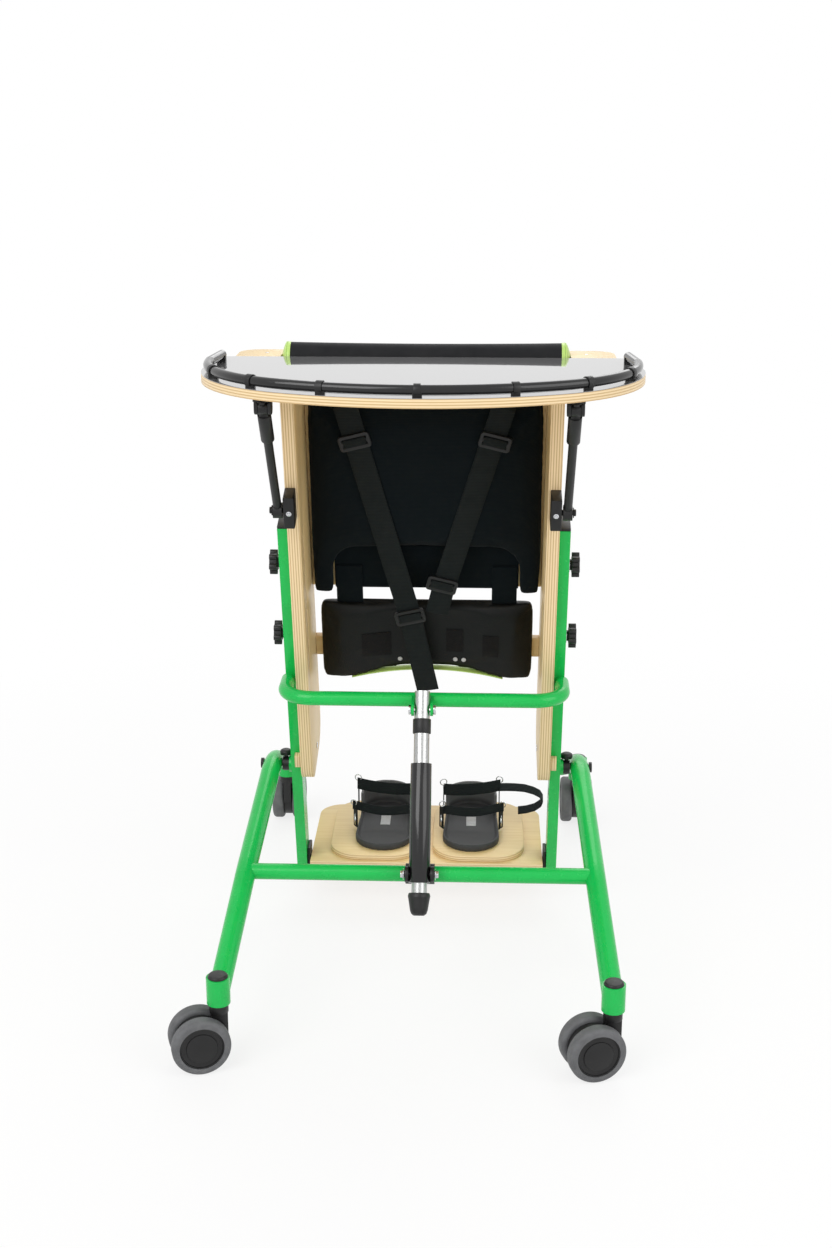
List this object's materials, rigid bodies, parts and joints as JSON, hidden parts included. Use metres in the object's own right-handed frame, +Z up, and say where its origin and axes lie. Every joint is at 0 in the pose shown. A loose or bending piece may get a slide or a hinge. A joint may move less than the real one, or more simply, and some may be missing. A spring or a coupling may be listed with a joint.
{
  "type": "standing frame",
  "caption": "Wheeled forward-leaning standing frame for a child, with ply side panels, padded trunk and knee supports, a tilting tray with chest roller, and sandals on a foot board",
  "frame": {"origin": "on the floor, below the middle of the box that holds the whole part", "axes": "+X to the right seen from the front (tray) side, -Y to the front, +Z up"},
  "size_m": [0.6356, 0.9156, 0.9171],
  "materials": {
    "green_paint": "gloss powder coat",
    "black_plastic": "fine moulded texture",
    "grey_tyre": "smooth matte",
    "bright_aluminium": "drawn, satin",
    "steel_wire": "bright plated",
    "birch_ply": "clear satin lacquer",
    "grey_laminate": "high gloss",
    "black_tube": "gloss",
    "lime_plastic": "gloss",
    "black_fabric": "knitted",
    "black_vinyl": "fine grain",
    "black_webbing": "woven",
    "dark_footbed": "matte"
  },
  "bodies": {
    "base": {"side_frame_left": "green_paint", "side_frame_right": "green_paint", "cross_tube": "green_paint", "sleeve_caps": "black_plastic", "strut_bracket": "black_plastic", "pivot_bushes": "black_plastic"},
    "caster_fl": {"caster_fork_fl": "black_plastic"},
    "wheels_fl": {"caster_hubs_fl": "black_plastic", "caster_tyres_fl": "grey_tyre"},
    "caster_fr": {"caster_fork_fr": "black_plastic"},
    "wheels_fr": {"caster_hubs_fr": "black_plastic", "caster_tyres_fr": "grey_tyre"},
    "caster_rl": {"caster_fork_rl": "black_plastic"},
    "wheels_rl": {"caster_hubs_rl": "black_plastic", "caster_tyres_rl": "grey_tyre"},
    "caster_rr": {"caster_fork_rr": "black_plastic"},
    "wheels_rr": {"caster_hubs_rr": "black_plastic", "caster_tyres_rr": "grey_tyre"},
    "upper_frame": {"upright_left": "green_paint", "upright_right": "green_paint", "upright_plugs": "black_plastic", "bow": "green_paint", "strut_pin": "steel_wire", "foot_board": "birch_ply", "foot_brackets": "black_plastic"},
    "main_sleeve": {"strut_sleeve": "black_plastic"},
    "main_tube": {"strut_tube": "bright_aluminium", "strut_trim": "black_plastic"},
    "knob_lu": {"star_knob_lu": "black_plastic"},
    "knob_ll": {"star_knob_ll": "black_plastic"},
    "knob_ru": {"star_knob_ru": "black_plastic"},
    "knob_rl": {"star_knob_rl": "black_plastic"},
    "lock_left": {"lock_knob_left": "black_plastic"},
    "lock_right": {"lock_knob_right": "black_plastic"},
    "carriage": {"side_panel_left": "birch_ply", "side_panel_right": "birch_ply", "pad_boards": "birch_ply", "trunk_pad": "black_fabric", "knee_pad": "black_vinyl", "harness_straps": "black_webbing", "harness_buckles": "black_plastic", "tray_clamps": "black_plastic"},
    "tray": {"tray_board": "birch_ply", "tray_laminate": "grey_laminate", "tray_rail": "black_tube", "tray_rail_clips": "black_plastic", "tray_brackets": "black_plastic"},
    "tray_rods": {"tray_strut_rods": "black_plastic"},
    "tray_heads": {"tray_strut_heads": "black_plastic"},
    "roller": {"roller_pad": "black_vinyl", "roller_axle": "lime_plastic"},
    "foot_left": {"foot_plate_left": "birch_ply", "sandal_left": "dark_footbed", "sandal_straps_left": "black_webbing", "sandal_rings_left": "steel_wire"},
    "foot_right": {"foot_plate_right": "birch_ply", "sandal_right": "dark_footbed", "sandal_straps_right": "black_webbing", "sandal_rings_right": "steel_wire"}
  },
  "joints": [
    {"name": "swivel_fl", "type": "hinge", "parent": "base", "child": "caster_fl", "pos_m": [-0.24621, -0.41316, 0.092], "axis": [0, 0, 1], "continuous": true},
    {"name": "roll_fl", "type": "hinge", "parent": "caster_fl", "child": "wheels_fl", "pos_m": [-0.27299, -0.42134, 0.04], "axis": [-0.2924, 0.9563, 0], "continuous": true},
    {"name": "swivel_fr", "type": "hinge", "parent": "base", "child": "caster_fr", "pos_m": [0.28179, -0.41316, 0.092], "axis": [0, 0, 1], "continuous": true},
    {"name": "roll_fr", "type": "hinge", "parent": "caster_fr", "child": "wheels_fr", "pos_m": [0.25501, -0.42134, 0.04], "axis": [-0.2924, 0.9563, 0], "continuous": true},
    {"name": "swivel_rl", "type": "hinge", "parent": "base", "child": "caster_rl", "pos_m": [-0.24021, 0.38984, 0.092], "axis": [0, 0, 1], "continuous": true},
    {"name": "roll_rl", "type": "hinge", "parent": "caster_rl", "child": "wheels_rl", "pos_m": [-0.24021, 0.41784, 0.04], "axis": [1, 0, 0], "continuous": true},
    {"name": "swivel_rr", "type": "hinge", "parent": "base", "child": "caster_rr", "pos_m": [0.27579, 0.38984, 0.092], "axis": [0, 0, 1], "continuous": true},
    {"name": "roll_rr", "type": "hinge", "parent": "caster_rr", "child": "wheels_rr", "pos_m": [0.27579, 0.41784, 0.04], "axis": [1, 0, 0], "continuous": true},
    {"name": "frame_tilt", "type": "hinge", "parent": "base", "child": "upper_frame", "pos_m": [0.01779, 0.03984, 0.255], "axis": [1, 0, 0], "range_deg": [-2.8, 10]},
    {"name": "strut_swing", "type": "hinge", "parent": "base", "child": "main_sleeve", "pos_m": [0.01779, -0.25016, 0.207], "axis": [1, 0, 0], "range_deg": [-1, 2.5]},
    {"name": "strut_slide", "type": "slide", "parent": "main_sleeve", "child": "main_tube", "axis": [0, 0.471, 0.8821], "range_m": [-0.0425, 0.0125]},
    {"name": "knob_turn_lu", "type": "hinge", "parent": "upper_frame", "child": "knob_lu", "pos_m": [-0.19821, -0.05735, 0.60786], "axis": [1, 0, 0], "continuous": true},
    {"name": "knob_turn_ll", "type": "hinge", "parent": "upper_frame", "child": "knob_ll", "pos_m": [-0.19821, -0.02495, 0.49024], "axis": [1, 0, 0], "continuous": true},
    {"name": "knob_turn_ru", "type": "hinge", "parent": "upper_frame", "child": "knob_ru", "pos_m": [0.23379, -0.05735, 0.60786], "axis": [1, 0, 0], "continuous": true},
    {"name": "knob_turn_rl", "type": "hinge", "parent": "upper_frame", "child": "knob_rl", "pos_m": [0.23379, -0.02495, 0.49024], "axis": [1, 0, 0], "continuous": true},
    {"name": "lock_turn_left", "type": "hinge", "parent": "base", "child": "lock_left", "pos_m": [-0.20046, 0.03984, 0.274], "axis": [0, 0, 1], "continuous": true},
    {"name": "lock_turn_right", "type": "hinge", "parent": "base", "child": "lock_right", "pos_m": [0.23604, 0.03984, 0.274], "axis": [0, 0, 1], "continuous": true},
    {"name": "carriage_slide", "type": "slide", "parent": "upper_frame", "child": "carriage", "axis": [0, -0.2656, 0.9641], "range_m": [-0.04, 0.06]},
    {"name": "tray_tilt", "type": "hinge", "parent": "carriage", "child": "tray", "pos_m": [0.01779, -0.08816, 0.863], "axis": [1, 0, 0], "range_deg": [-8, 0]},
    {"name": "tray_rod_swing", "type": "hinge", "parent": "carriage", "child": "tray_rods", "pos_m": [0.01779, -0.14337, 0.70552], "axis": [1, 0, 0], "range_deg": [-5, 0.5]},
    {"name": "tray_rod_slide", "type": "slide", "parent": "tray_rods", "child": "tray_heads", "axis": [0, -0.6213, 0.7836], "range_m": [-0.001, 0.021]},
    {"name": "roller_spin", "type": "hinge", "parent": "tray", "child": "roller", "pos_m": [0.01779, 0.00784, 0.893], "axis": [1, 0, 0], "continuous": true},
    {"name": "foot_turn_left", "type": "hinge", "parent": "upper_frame", "child": "foot_left", "pos_m": [-0.06521, 0.22684, 0.08], "axis": [0, 0, 1], "range_deg": [-10, 0]},
    {"name": "foot_turn_right", "type": "hinge", "parent": "upper_frame", "child": "foot_right", "pos_m": [0.10079, 0.22684, 0.08], "axis": [0, 0, 1], "range_deg": [0, 10]}
  ],
  "couplings": [
    {"joint": "strut_swing", "follows": "frame_tilt", "ratio": 0.2},
    {"joint": "strut_slide", "follows": "frame_tilt", "m_per_rad": -0.236},
    {"joint": "tray_rod_swing", "follows": "tray_tilt", "ratio": 0.575},
    {"joint": "tray_rod_slide", "follows": "tray_tilt", "m_per_rad": -0.138}
  ]
}
